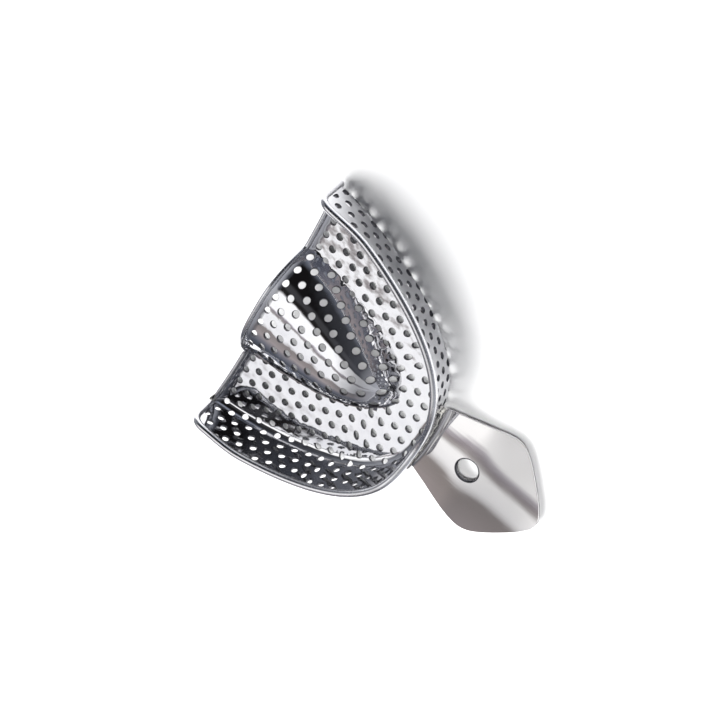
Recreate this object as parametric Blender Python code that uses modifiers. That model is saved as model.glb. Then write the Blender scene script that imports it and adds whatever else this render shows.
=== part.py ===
"""Perforated metal impression tray for an upper jaw, with a stamped handle soldered to its front.

The tray lies on the flat underside of its trough. +Z is up, the handle points to -Y, and the tray is
symmetric about X = 0. The origin is on the ground under the middle of the whole object.
"""
import math

import bmesh
import bpy
import numpy as np

MM = 0.001

# Driving dimensions, in millimetres, with Y = 0 at the heels and -Y towards the handle.
HALF_WIDTH = 35.2
PAN_LENGTH = 46.4
PLAN_SIDE_POWER = 0.69
PLAN_FRONT_POWER = 1.6
SHEET = 0.7
GAP = 0.3

WALL_HEIGHT = 12.3
WALL_FLARE = 1.7
FLARE_RUN = 14.0
FOOT_RADIUS = 3.0
NOTCH_DEPTH = 3.1
NOTCH_HALF_WIDTH = 13.0

VAULT_HEIGHT = 9.0
VAULT_HALF_WIDTH = 15.9
VAULT_LENGTH = 35.3
VAULT_TAPER_LENGTH = 36.5
VAULT_TAPER_BOW = 1.5
VAULT_SIDE_POWER = 2.7
VAULT_TAPER_POWER = 0.64
VAULT_NOSE_POWER = 8
VAULT_FOOT_BLEND = 0.5

BACK_EDGE_Y = 1.2
BACK_CORNER_SWEEP = 1.0
BACK_LIP_RISE = 1.4
BACK_LIP_RUN = 2.2
HEEL_SLANT = 0.14
HEEL_CORNER_RADIUS = 3.4

HOLE_RADIUS = 0.92
HOLE_PITCH = 3.78
ROW_PITCH = 3.13
DRAW_SHARE = 0.8
HOLE_SIDES = 6
FIRST_ROW_Y = -0.75
EDGE_WEB = 0.2

RIM_WIRE_RADIUS = 0.9
BACK_WIRE_RADIUS = 0.6

HANDLE_SHEET = 0.9
HANDLE_ROOT_HALF_WIDTH = 9.6
HANDLE_LENGTH = 29.2
HANDLE_SPREAD = 0.3
HANDLE_TIP_RADIUS = 3.2
HANDLE_CORNER_SHARPNESS = 8
HANDLE_BEND_RADIUS = 1.5
HANDLE_FLANGE_TOP = 6.6
HANDLE_ARCH = 1.15
HANDLE_ARCH_HALF_WIDTH = 13.2
HANDLE_ROOT_HEIGHT = 2.7
HANDLE_DROOP = 1.4
HANDLE_DROOP_FROM = 0.2
HANDLE_TIP_SHARE = 0.997
HANDLE_HOLE_RADIUS = 3.1
HANDLE_HOLE_FROM_ROOT = 9.6

SOLDER_BEAD_RADIUS = 0.45
HEEL_SOLDER_LENGTH = 0.7

HANDLE_ROOT_Y = -PAN_LENGTH - GAP - HANDLE_SHEET / 2 - HANDLE_BEND_RADIUS
RIM_FOOT_HEIGHT = RIM_WIRE_RADIUS + BACK_WIRE_RADIUS
FRONT_Y = HANDLE_ROOT_Y - HANDLE_LENGTH * HANDLE_TIP_SHARE
BACK_Y = BACK_EDGE_Y + BACK_CORNER_SWEEP - HEEL_SLANT * RIM_FOOT_HEIGHT + RIM_WIRE_RADIUS
CENTRE_Y = (FRONT_Y + BACK_Y) / 2


def clear_scene():
    for old in list(bpy.data.objects):
        bpy.data.objects.remove(old, do_unlink=True)


def make_collection(name):
    collection = bpy.data.collections.new(name)
    bpy.context.scene.collection.children.link(collection)
    return collection


def make_material(name, colour, roughness, metallic):
    material = bpy.data.materials.new(name)
    material.use_nodes = True
    shader = material.node_tree.nodes["Principled BSDF"]
    shader.inputs["Base Color"].default_value = (*colour, 1.0)
    shader.inputs["Roughness"].default_value = roughness
    shader.inputs["Metallic"].default_value = metallic
    return material


# ---------------------------------------------------------------- plan of the wall

def plan_outline(count):
    """Outer face of the wall's foot seen from above, right heel to left heel, evenly spaced."""
    angle = np.linspace(0.0, math.pi, 4001)
    x = HALF_WIDTH * np.sign(np.cos(angle)) * np.abs(np.cos(angle)) ** PLAN_SIDE_POWER
    y = -PAN_LENGTH * np.sin(angle).clip(0.0) ** PLAN_FRONT_POWER
    length = np.concatenate([[0.0], np.cumsum(np.hypot(np.diff(x), np.diff(y)))])
    even = np.linspace(0.0, length[-1], count)
    return np.stack([np.interp(even, length, x), np.interp(even, length, y)], axis=1)


def with_heel_runs(outline):
    """The outline with a straight run added behind each heel, so points there have a foot too."""
    behind = 6.0
    right = [HALF_WIDTH, behind]
    left = [-HALF_WIDTH, behind]
    return np.vstack([right, outline, left])


def outward_normals(outline):
    along = np.gradient(outline, axis=0)
    normal = np.stack([-along[:, 1], along[:, 0]], axis=1)
    return normal / np.linalg.norm(normal, axis=1, keepdims=True)


PLAN = with_heel_runs(plan_outline(241))
PLAN_NORMAL = outward_normals(PLAN)
if PLAN_NORMAL[0, 0] < 0:
    PLAN_NORMAL = -PLAN_NORMAL


def nearest_on_plan(points):
    """Foot point on the plan, its outward normal, and the signed distance outside it."""
    start = PLAN[:-1]
    step = PLAN[1:] - start
    offset = points[:, None, :] - start[None, :, :]
    share = np.clip((offset * step).sum(axis=2) / (step * step).sum(axis=1), 0.0, 1.0)
    foot = start + share[:, :, None] * step
    gap = np.linalg.norm(points[:, None, :] - foot, axis=2)
    best = gap.argmin(axis=1)
    rows = np.arange(len(points))
    share = share[rows, best][:, None]
    normal = PLAN_NORMAL[best] * (1.0 - share) + PLAN_NORMAL[best + 1] * share
    normal /= np.linalg.norm(normal, axis=1, keepdims=True)
    foot = foot[rows, best]
    distance = ((points - foot) * normal).sum(axis=1)
    return foot, normal, distance


# ---------------------------------------------------------------- heights

def smooth_ramp(value, blend):
    """Zero below -blend, the value above +blend, and a parabola between."""
    middle = (value + blend) ** 2 / (4.0 * blend)
    return np.where(value <= -blend, 0.0, np.where(value >= blend, value, middle))


def vault_height(x, y):
    """Rise of the palatal vault above the trough floor."""
    depth = np.abs(np.minimum(y, 0.0))
    share = 1.0 - (depth / VAULT_TAPER_LENGTH) ** VAULT_TAPER_BOW
    taper = np.clip(share, 0.02, 1.0) ** VAULT_TAPER_POWER
    half_width = VAULT_HALF_WIDTH * taper
    side = (np.sqrt(x * x + 1.0) - 1.0) / half_width
    nose = 1.0 - (depth / VAULT_LENGTH) ** VAULT_NOSE_POWER
    return smooth_ramp(VAULT_HEIGHT * (nose - side ** VAULT_SIDE_POWER), VAULT_FOOT_BLEND)


def back_edge(x):
    """Y of the back wire's middle."""
    return BACK_EDGE_Y + BACK_CORNER_SWEEP * (np.abs(x) / HALF_WIDTH) ** 4


def lip_height(x, y):
    """Small upturn of the sheet along its back edge."""
    into = np.clip(1.0 - (back_edge(x) - y) / BACK_LIP_RUN, 0.0, 1.3)
    return BACK_LIP_RISE * into ** 2


def rim_height(foot):
    """Height of the rim wire's middle above a point of the plan, with the notch at the front."""
    across = np.clip(np.abs(foot[:, 0]) / NOTCH_HALF_WIDTH, 0.0, 1.0)
    notch = 0.5 + 0.5 * np.cos(math.pi * across)
    at_front = (foot[:, 1] < -PAN_LENGTH / 2).astype(float)
    return WALL_HEIGHT - NOTCH_DEPTH * notch * at_front


def wall_flare(foot, height):
    """How far the wall leans outwards at a height."""
    forward = np.clip(-foot[:, 1] / FLARE_RUN, 0.0, 1.0)
    share = np.clip((height - FOOT_RADIUS) / (WALL_HEIGHT - FOOT_RADIUS), 0.0, 1.5)
    return WALL_FLARE * forward * forward * (3.0 - 2.0 * forward) * share


def pressed(points):
    """Underside of the sheet after pressing: flat trough, vault, lip, rounded foot and wall."""
    foot, normal, outside = nearest_on_plan(points)
    turn = np.clip((outside + FOOT_RADIUS) / FOOT_RADIUS, 0.0, math.pi / 2)
    above = np.clip(outside + FOOT_RADIUS - FOOT_RADIUS * math.pi / 2, 0.0, None)
    height = FOOT_RADIUS * (1.0 - np.cos(turn)) + above
    on_wall = (turn > 0.0)[:, None]
    sideways = FOOT_RADIUS * (np.sin(turn) - 1.0) + wall_flare(foot, height)
    flat = np.where(on_wall, foot + normal * sideways[:, None], points)
    floor = vault_height(points[:, 0], points[:, 1]) + lip_height(points[:, 0], points[:, 1])
    fade = np.clip(1.0 - turn / (math.pi / 2), 0.0, 1.0)
    return np.column_stack([flat, height + floor * fade])


def developed_reach(height):
    """Distance outside the plan, on the flat sheet, of a point at a height on the wall."""
    return height - FOOT_RADIUS + FOOT_RADIUS * (math.pi / 2 - 1.0)


def wall_middle(foot, normal, height):
    """Middle of the sheet's thickness on the wall at a height."""
    inward = wall_flare(foot, height) - SHEET / 2
    return np.column_stack([foot + normal * inward[:, None], height])


def drawn_x(x, y):
    """Where a point of the flat perforated sheet lies once the vault has drawn it inwards."""
    grid = np.linspace(0.0, VAULT_HALF_WIDTH + 3.0, 161)
    result = np.empty_like(x)
    for index, (side, depth) in enumerate(zip(x, y)):
        heights = vault_height(grid, np.full_like(grid, depth))
        length = np.concatenate([[0.0], np.cumsum(np.hypot(np.diff(grid), np.diff(heights)))])
        length = grid + DRAW_SHARE * (length - grid)
        drawn = np.interp(abs(side), length, grid, right=np.nan)
        if np.isnan(drawn):
            drawn = abs(side) - (length[-1] - grid[-1])
        result[index] = math.copysign(drawn, side)
    return result


# ---------------------------------------------------------------- pan

def heel_corner():
    """Y and height of the middle of the rounded upper corner at the wall's rear edge."""
    heel_y = float(back_edge(np.array(HALF_WIDTH)))
    height = WALL_HEIGHT - HEEL_CORNER_RADIUS
    return heel_y - HEEL_SLANT * height - HEEL_CORNER_RADIUS, height


def blank_edge():
    """Outline of the pan's flat sheet, right half from the middle of the back to the front."""
    rim_room = RIM_WIRE_RADIUS + GAP
    back_room = BACK_WIRE_RADIUS + GAP
    corner_y, corner_z = heel_corner()
    back_x = np.linspace(0.0, HALF_WIDTH, 24)
    near_wall = np.clip((back_x - HALF_WIDTH + 5.0) / 3.0, 0.0, 1.0)
    back_y = back_edge(back_x) - back_room - (rim_room - back_room) * near_wall
    back = np.column_stack([back_x, back_y])
    corner_radius = HEEL_CORNER_RADIUS - rim_room
    rise_z = np.linspace(FOOT_RADIUS, corner_z - 0.5, 6)
    share = rise_z / corner_z
    rise_y = back_y[-1] + (corner_y + corner_radius - back_y[-1]) * share
    angle = np.linspace(math.radians(90.0), 0.0, 7)
    turn_y = corner_y + corner_radius * np.sin(angle)
    turn_z = corner_z + corner_radius * np.cos(angle)
    wall_y = np.concatenate([rise_y, turn_y])
    wall_z = np.concatenate([rise_z, turn_z])
    foot, normal, _ = nearest_on_plan(np.column_stack([np.full_like(wall_y, HALF_WIDTH), wall_y]))
    heel = foot + normal * developed_reach(wall_z)[:, None]
    plan = plan_outline(181)
    half = plan[: len(plan) // 2 + 1]
    half = half[half[:, 1] < corner_y - 1.0]
    foot, normal, _ = nearest_on_plan(half)
    top = developed_reach(rim_height(foot) - rim_room)
    rim = foot + normal * top[:, None]
    rim[-1, 0] = 0.0
    return np.vstack([back, heel, rim])


def whole_outline(half):
    """Both halves of an outline whose first and last points lie on X = 0."""
    mirrored = half[-2:0:-1] * np.array([-1.0, 1.0])
    return np.vstack([half, mirrored])


def inside_polygon(point, polygon):
    x, y = point
    here = polygon
    then = np.roll(polygon, -1, axis=0)
    crosses = (here[:, 1] > y) != (then[:, 1] > y)
    rise = np.where(crosses, then[:, 1] - here[:, 1], 1.0)
    at_x = here[:, 0] + (y - here[:, 1]) * (then[:, 0] - here[:, 0]) / rise
    return bool(np.count_nonzero(crosses & (x < at_x)) % 2)


def distance_to_polygon(point, polygon):
    step = np.roll(polygon, -1, axis=0) - polygon
    offset = np.asarray(point) - polygon
    share = np.clip((offset * step).sum(axis=1) / (step * step).sum(axis=1), 0.0, 1.0)
    return float(np.linalg.norm(offset - share[:, None] * step, axis=1).min())


def perforations(outline):
    """Outlines of the holes that keep a web of metal to the sheet's edge."""
    reach = WALL_HEIGHT + HALF_WIDTH + HOLE_PITCH * 4
    columns = int(reach / HOLE_PITCH)
    rows = int((PAN_LENGTH + WALL_HEIGHT) / ROW_PITCH) + 2
    angle = np.arange(HOLE_SIDES) * 2.0 * math.pi / HOLE_SIDES
    ring = HOLE_RADIUS * np.column_stack([np.cos(angle), np.sin(angle)])
    holes = []
    for row in range(rows):
        y = FIRST_ROW_Y - row * ROW_PITCH
        shift = 0.0 if row % 2 else HOLE_PITCH / 2
        for column in range(-columns, columns + 1):
            corners = ring + np.array([column * HOLE_PITCH + shift, y])
            corners[:, 0] = drawn_x(corners[:, 0], corners[:, 1])
            centre = corners.mean(axis=0)
            if not inside_polygon(centre, outline):
                continue
            if distance_to_polygon(centre, outline) < HOLE_RADIUS + EDGE_WEB:
                continue
            holes.append(corners)
    return holes


def add_closed_spline(curve, points):
    spline = curve.splines.new("POLY")
    spline.points.add(len(points) - 1)
    for target, (x, y) in zip(spline.points, points):
        target.co = (x * MM, y * MM, 0.0, 1.0)
    spline.use_cyclic_u = True


def filled_sheet(name, outlines):
    """Flat mesh filling the first outline, with the other outlines as holes."""
    curve = bpy.data.curves.new(name + "_outline", "CURVE")
    curve.dimensions = "2D"
    curve.fill_mode = "BOTH"
    for outline in outlines:
        add_closed_spline(curve, outline)
    flat = bpy.data.objects.new(name + "_outline", curve)
    bpy.context.scene.collection.objects.link(flat)
    bpy.context.view_layer.update()
    evaluated = flat.evaluated_get(bpy.context.evaluated_depsgraph_get())
    mesh = bpy.data.meshes.new_from_object(evaluated)
    bpy.data.objects.remove(flat, do_unlink=True)
    sheet = bmesh.new()
    sheet.from_mesh(mesh)
    bmesh.ops.remove_doubles(sheet, verts=sheet.verts, dist=1e-6)
    bmesh.ops.triangulate(sheet, faces=sheet.faces)
    bmesh.ops.beautify_fill(sheet, faces=sheet.faces, edges=sheet.edges)
    for face in sheet.faces:
        if face.normal.z < 0:
            face.normal_flip()
    sheet.to_mesh(mesh)
    sheet.free()
    return mesh


def move_vertices(mesh, transform):
    """Give each vertex the place, in millimetres, that the transform makes of its flat place."""
    flat = np.empty(len(mesh.vertices) * 3)
    mesh.vertices.foreach_get("co", flat)
    formed = transform(flat.reshape(-1, 3)[:, :2] / MM)
    formed[:, 1] -= CENTRE_Y
    mesh.vertices.foreach_set("co", (formed * MM).ravel())
    mesh.update()


def add_object(name, data, collection, material):
    piece = bpy.data.objects.new(name, data)
    collection.objects.link(piece)
    piece.data.materials.clear()
    piece.data.materials.append(material)
    return piece


def thicken(piece, thickness, offset):
    solidify = piece.modifiers.new("thickness", "SOLIDIFY")
    solidify.thickness = thickness * MM
    solidify.offset = offset
    solidify.use_rim = True
    return solidify


def make_pan(collection, steel):
    outline = whole_outline(blank_edge())
    mesh = filled_sheet("perforated_pan", [outline] + perforations(outline))
    move_vertices(mesh, pressed)
    pan = add_object("perforated_pan", mesh, collection, steel)
    thicken(pan, SHEET, 1.0)
    return pan


# ---------------------------------------------------------------- wires

def add_wire(name, points, radius, collection, material):
    curve = bpy.data.curves.new(name, "CURVE")
    curve.dimensions = "3D"
    curve.bevel_depth = radius * MM
    curve.bevel_resolution = 2
    curve.use_fill_caps = True
    spline = curve.splines.new("POLY")
    spline.points.add(len(points) - 1)
    for target, (x, y, z) in zip(spline.points, points):
        target.co = (x * MM, (y - CENTRE_Y) * MM, z * MM, 1.0)
    spline.use_smooth = True
    return add_object(name, curve, collection, material)


def mirrored_path(half):
    """A path from the right to the left heel, from its right half that ends on X = 0."""
    return np.vstack([half, half[-2::-1] * np.array([-1.0, 1.0, 1.0])])


def rim_path():
    """Middle of the rim wire: up the heel's rear edge, round its corner and along the rim."""
    corner_y, corner_z = heel_corner()
    heel_y = corner_y + HEEL_CORNER_RADIUS
    rise_z = np.linspace(RIM_FOOT_HEIGHT, corner_z, 5)
    rise_y = heel_y + HEEL_SLANT * (corner_z - rise_z)
    angle = np.linspace(math.radians(75.0), math.radians(15.0), 5)
    turn_y = corner_y + HEEL_CORNER_RADIUS * np.sin(angle)
    turn_z = corner_z + HEEL_CORNER_RADIUS * np.cos(angle)
    heel_foot = np.column_stack([np.full(10, HALF_WIDTH), np.concatenate([rise_y, turn_y])])
    foot, normal, _ = nearest_on_plan(heel_foot)
    heel = wall_middle(foot, normal, np.concatenate([rise_z, turn_z]))
    plan = plan_outline(101)
    half = plan[: len(plan) // 2 + 1]
    half = half[half[:, 1] < corner_y]
    foot, normal, _ = nearest_on_plan(half)
    rim = wall_middle(foot, normal, rim_height(foot))
    return mirrored_path(np.vstack([heel, rim]))


def back_path():
    """Middle of the wire along the pan's back edge, between the rim wire's two feet."""
    reach = HALF_WIDTH - SHEET / 2 - RIM_WIRE_RADIUS - 2 * GAP - HEEL_SOLDER_LENGTH
    x = np.linspace(reach, 0.0, 26)
    y = back_edge(x)
    inner = pressed(np.column_stack([x, y]))
    return mirrored_path(np.column_stack([x, y, inner[:, 2] + SHEET / 2]))


def make_heel_solder(side, name, path, collection, solder):
    """Solder joint between the back wire's end and the rim wire's foot."""
    end = path[0] * np.array([side, 1.0, 1.0])
    middle = end + np.array([side * (GAP + HEEL_SOLDER_LENGTH / 2), 0.0, 0.0])
    bpy.ops.mesh.primitive_uv_sphere_add(segments=12, ring_count=8, radius=BACK_WIRE_RADIUS * MM)
    joint = bpy.context.object
    joint.name = name
    joint.data.name = name
    squash = HEEL_SOLDER_LENGTH / 2 / BACK_WIRE_RADIUS
    for vertex in joint.data.vertices:
        vertex.co.x *= squash
    joint.location = (middle[0] * MM, (middle[1] - CENTRE_Y) * MM, middle[2] * MM)
    for owner in list(joint.users_collection):
        owner.objects.unlink(joint)
    collection.objects.link(joint)
    joint.data.materials.append(solder)
    joint.data.shade_smooth()
    return joint


# ---------------------------------------------------------------- handle

def handle_half_width(along):
    """Half width of the blade: a kite with rounded corners and a rounded tip."""
    left = np.clip(HANDLE_LENGTH - along, 0.0, None)
    spread = HANDLE_ROOT_HALF_WIDTH + HANDLE_SPREAD * along
    tip = np.sqrt(left * left + 2.0 * HANDLE_TIP_RADIUS * left)
    power = HANDLE_CORNER_SHARPNESS
    return (spread ** -power + np.maximum(tip, 0.05) ** -power) ** (-1.0 / power)


def handle_ridge_height(along):
    """Height of the blade's ridge: level at the root, then drooping towards the tip."""
    share = (along / HANDLE_LENGTH - HANDLE_DROOP_FROM) / (1.0 - HANDLE_DROOP_FROM)
    share = min(max(share, 0.0), 1.0)
    return HANDLE_ROOT_HEIGHT - HANDLE_DROOP * share * share * (3.0 - 2.0 * share)


def handle_arch(x):
    """How far the arched sheet lies below its ridge."""
    return HANDLE_ARCH * (x / HANDLE_ARCH_HALF_WIDTH) ** 2


def handle_point(across, station, blade_start):
    """Middle of the handle's sheet; stations below blade_start run down the flange and its bend."""
    bend = HANDLE_BEND_RADIUS
    clearance = GAP + HANDLE_SHEET / 2
    if station < blade_start:
        half_width = HANDLE_ROOT_HALF_WIDTH
        flange = HANDLE_FLANGE_TOP - HANDLE_ROOT_HEIGHT - bend
        travel = station / blade_start * (flange + bend * math.pi / 2)
        if travel < flange:
            height = HANDLE_FLANGE_TOP - travel
            outward = clearance
        else:
            turn = (travel - flange) / bend
            height = HANDLE_ROOT_HEIGHT + bend * (1.0 - math.sin(turn))
            outward = clearance + bend * (1.0 - math.cos(turn))
        along = 0.0
    else:
        share = (station - blade_start) / (1.0 - blade_start)
        along = HANDLE_LENGTH * HANDLE_TIP_SHARE * (1.0 - (1.0 - share) ** 1.5)
        half_width = float(handle_half_width(np.array(along)))
        outward = clearance + bend
        height = handle_ridge_height(along)
    x = across * half_width
    height -= handle_arch(x)
    straighten = (1.0 - along / HANDLE_LENGTH) ** 2
    root_x = across * HANDLE_ROOT_HALF_WIDTH
    probe = np.array([[root_x, -PAN_LENGTH - 5.0]])
    foot, normal, _ = nearest_on_plan(probe)
    lean = wall_flare(foot, np.array([max(height, FOOT_RADIUS)]))[0] if station < blade_start else 0.0
    root = foot[0] + normal[0] * (outward + lean)
    front = -PAN_LENGTH - outward
    y = front - along + (root[1] - front) * straighten
    x = x + (root[0] - root_x) * straighten
    return x, y, height


def make_handle(collection, steel, cutters):
    across_steps = 15
    station_steps = 25
    blade_start = 0.28
    bpy.ops.mesh.primitive_grid_add(x_subdivisions=across_steps, y_subdivisions=station_steps, size=2.0)
    handle = bpy.context.object
    handle.name = "handle"
    handle.data.name = "handle"
    for vertex in handle.data.vertices:
        across = vertex.co.x
        station = (vertex.co.y + 1.0) / 2.0
        x, y, z = handle_point(across, station, blade_start)
        vertex.co = (x * MM, (y - CENTRE_Y) * MM, z * MM)
    for owner in list(handle.users_collection):
        owner.objects.unlink(handle)
    collection.objects.link(handle)
    handle.data.materials.append(steel)
    handle.data.shade_smooth()
    thicken(handle, HANDLE_SHEET, 0.0)
    hole_y = HANDLE_ROOT_Y - HANDLE_HOLE_FROM_ROOT
    bpy.ops.mesh.primitive_cylinder_add(vertices=32, radius=HANDLE_HOLE_RADIUS * MM, depth=20 * MM,
                                        location=(0.0, (hole_y - CENTRE_Y) * MM, 0.0))
    cutter = bpy.context.object
    cutter.name = "handle_hole_cutter"
    cutter.hide_render = True
    cutter.display_type = "WIRE"
    for owner in list(cutter.users_collection):
        owner.objects.unlink(cutter)
    cutters.objects.link(cutter)
    cut = handle.modifiers.new("hole", "BOOLEAN")
    cut.operation = "DIFFERENCE"
    cut.object = cutter
    return handle


def make_handle_solder(collection, solder):
    """Bead of solder on the wall along the top edge of the handle's flange."""
    reach = HANDLE_ROOT_HALF_WIDTH
    x = np.linspace(reach, -reach, 19)
    foot, normal, _ = nearest_on_plan(np.column_stack([x, np.full_like(x, -PAN_LENGTH - 5.0)]))
    height = HANDLE_FLANGE_TOP + GAP + SOLDER_BEAD_RADIUS - handle_arch(x)
    outward = wall_flare(foot, height) + GAP + SOLDER_BEAD_RADIUS
    points = np.column_stack([foot + normal * outward[:, None], height])
    return add_wire("handle_solder_seam", points, SOLDER_BEAD_RADIUS, collection, solder)


def main():
    clear_scene()
    tray = make_collection("impression_tray")
    cutters = make_collection("cutters")
    steel = make_material("perforated_stainless_steel", (0.62, 0.62, 0.63), 0.12, 1.0)
    wire_steel = make_material("stainless_wire", (0.60, 0.60, 0.61), 0.10, 1.0)
    handle_steel = make_material("polished_handle_steel", (0.64, 0.63, 0.62), 0.10, 1.0)
    solder = make_material("silver_solder", (0.66, 0.65, 0.62), 0.30, 1.0)
    make_pan(tray, steel)
    add_wire("rim_wire", rim_path(), RIM_WIRE_RADIUS, tray, wire_steel)
    back = back_path()
    add_wire("back_wire", back, BACK_WIRE_RADIUS, tray, wire_steel)
    make_heel_solder(1.0, "heel_solder_right", back, tray, solder)
    make_heel_solder(-1.0, "heel_solder_left", back, tray, solder)
    make_handle(tray, handle_steel, cutters)
    make_handle_solder(tray, solder)


main()
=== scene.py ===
"""Looks of a perforated metal impression tray for an upper jaw.

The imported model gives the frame: where the heels, the front wall and the handle's tip are. The pan, the
wires, the handle and the solder are rebuilt here as fine meshes with round perforations and polished steel.
"""
import logging
import math
from dataclasses import dataclass, field
from enum import Enum
from typing import Callable

import bpy
import numpy as np
from mathutils import Matrix, Vector
from mathutils.geometry import delaunay_2d_cdt


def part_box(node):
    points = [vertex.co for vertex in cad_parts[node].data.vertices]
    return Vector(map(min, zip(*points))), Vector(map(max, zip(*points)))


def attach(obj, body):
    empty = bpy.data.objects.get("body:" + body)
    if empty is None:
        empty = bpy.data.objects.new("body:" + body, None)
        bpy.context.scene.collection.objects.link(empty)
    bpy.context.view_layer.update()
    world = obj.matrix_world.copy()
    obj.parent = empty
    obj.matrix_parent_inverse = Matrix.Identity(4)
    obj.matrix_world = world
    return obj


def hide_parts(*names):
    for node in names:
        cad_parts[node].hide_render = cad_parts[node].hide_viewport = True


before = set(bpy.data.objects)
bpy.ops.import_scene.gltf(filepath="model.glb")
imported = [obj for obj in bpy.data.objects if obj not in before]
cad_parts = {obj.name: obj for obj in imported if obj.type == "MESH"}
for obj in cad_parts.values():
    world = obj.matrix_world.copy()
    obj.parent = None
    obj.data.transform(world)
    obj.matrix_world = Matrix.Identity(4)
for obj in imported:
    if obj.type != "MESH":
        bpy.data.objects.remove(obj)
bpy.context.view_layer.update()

MM = 0.001
LOG = logging.getLogger("impression_tray")
Array = np.ndarray


# ------------------------------------------------------------------ small helpers

def linear(hex_colour: str) -> tuple[float, float, float, float]:
    """Turn an sRGB hex colour into linear RGBA.

    Args:
        hex_colour: Six hex digits with a leading hash.

    Returns:
        Linear red, green, blue and an alpha of one.
    """
    channels = [int(hex_colour[i:i + 2], 16) / 255.0 for i in (1, 3, 5)]
    straight = [c / 12.92 if c <= 0.04045 else ((c + 0.055) / 1.055) ** 2.4 for c in channels]
    return (straight[0], straight[1], straight[2], 1.0)


def per_metre(size_mm: float) -> float:
    """Scale of a pattern whose features measure size_mm, for coordinates in metres."""
    return 1.0 / (size_mm * MM)


def add_node(tree: bpy.types.NodeTree, kind: str, settings: dict | None = None,
             links: dict | None = None, **options: object) -> bpy.types.Node:
    """Add a node with its options, socket values and incoming links.

    Args:
        tree: Node tree to add to.
        kind: The node's type name.
        settings: Value for each input socket, by name or index.
        links: Output socket to join to each input socket, by name or index.
        options: Attributes of the node itself.

    Returns:
        The new node.
    """
    node = tree.nodes.new(kind)
    for name, value in options.items():
        setattr(node, name, value)
    for socket, value in (settings or {}).items():
        node.inputs[socket].default_value = value
    for socket, source in (links or {}).items():
        tree.links.new(source, node.inputs[socket])
    return node


def smooth_ramp(value: Array, blend: float) -> Array:
    """Zero below -blend, the value itself above +blend, and a parabola between.

    Args:
        value: Values to ramp.
        blend: Half length of the rounded part.

    Returns:
        The ramped values.
    """
    middle = (value + blend) ** 2 / (4.0 * blend)
    return np.where(value <= -blend, 0.0, np.where(value >= blend, value, middle))


def unit(vectors: Array) -> Array:
    """Vectors scaled to length one."""
    return vectors / np.linalg.norm(vectors, axis=-1, keepdims=True).clip(1e-12)


def resample(path: Array, count: int, closed: bool = False) -> Array:
    """Points spaced evenly along a path.

    Args:
        path: Points of the path.
        count: How many points to return.
        closed: Whether the path runs back to its start.

    Returns:
        The evenly spaced points.
    """
    if closed:
        path = np.vstack([path, path[:1]])
    length = np.concatenate([[0.0], np.cumsum(np.linalg.norm(np.diff(path, axis=0), axis=1))])
    even = np.linspace(0.0, length[-1], count + 1 if closed else count)
    points = np.column_stack([np.interp(even, length, path[:, k]) for k in range(path.shape[1])])
    return points[:-1] if closed else points


def relax(path: Array, rounds: int) -> Array:
    """A path with its small kinks evened out, its ends kept.

    Args:
        path: Points of the path.
        rounds: How many times each point moves to its neighbours' middle.

    Returns:
        The smoother path.
    """
    calm = path.copy()
    for _ in range(rounds):
        calm[1:-1] = 0.5 * calm[1:-1] + 0.25 * (calm[:-2] + calm[2:])
    return calm


def closed_offset(ring: Array, distance: float) -> Array:
    """A closed outline moved outwards by a distance.

    Args:
        ring: Points of the outline, anticlockwise.
        distance: How far to move it; inwards if negative.

    Returns:
        The moved outline.
    """
    along = unit(np.roll(ring, -1, axis=0) - np.roll(ring, 1, axis=0))
    outward = np.column_stack([along[:, 1], -along[:, 0]])
    return ring + outward * distance


def inside_outline(points: Array, outline: Array) -> Array:
    """Which points lie inside a closed outline.

    Args:
        points: Points to test.
        outline: Corners of the outline.

    Returns:
        One boolean for each point.
    """
    inside = np.zeros(len(points), dtype=bool)
    for here, then in zip(outline, np.roll(outline, -1, axis=0)):
        crosses = (here[1] > points[:, 1]) != (then[1] > points[:, 1])
        rise = then[1] - here[1]
        at_x = here[0] + (points[:, 1] - here[1]) * (then[0] - here[0]) / (rise if rise else 1.0)
        inside ^= crosses & (points[:, 0] < at_x)
    return inside


def outline_distance(points: Array, outline: Array) -> Array:
    """Distance of each point to a closed outline.

    Args:
        points: Points to measure from.
        outline: Corners of the outline.

    Returns:
        One distance for each point.
    """
    step = np.roll(outline, -1, axis=0) - outline
    offset = points[:, None, :] - outline[None, :, :]
    share = np.clip((offset * step).sum(axis=2) / (step * step).sum(axis=1).clip(1e-12), 0.0, 1.0)
    return np.linalg.norm(offset - share[:, :, None] * step, axis=2).min(axis=1)


# ------------------------------------------------------------------ finishes

class Marks(Enum):
    """Which way the marks of a finish run, as their stretch along each axis."""

    EVEN = (1.0, 1.0, 1.0)
    LENGTHWISE = (1.0, 0.12, 1.0)


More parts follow.
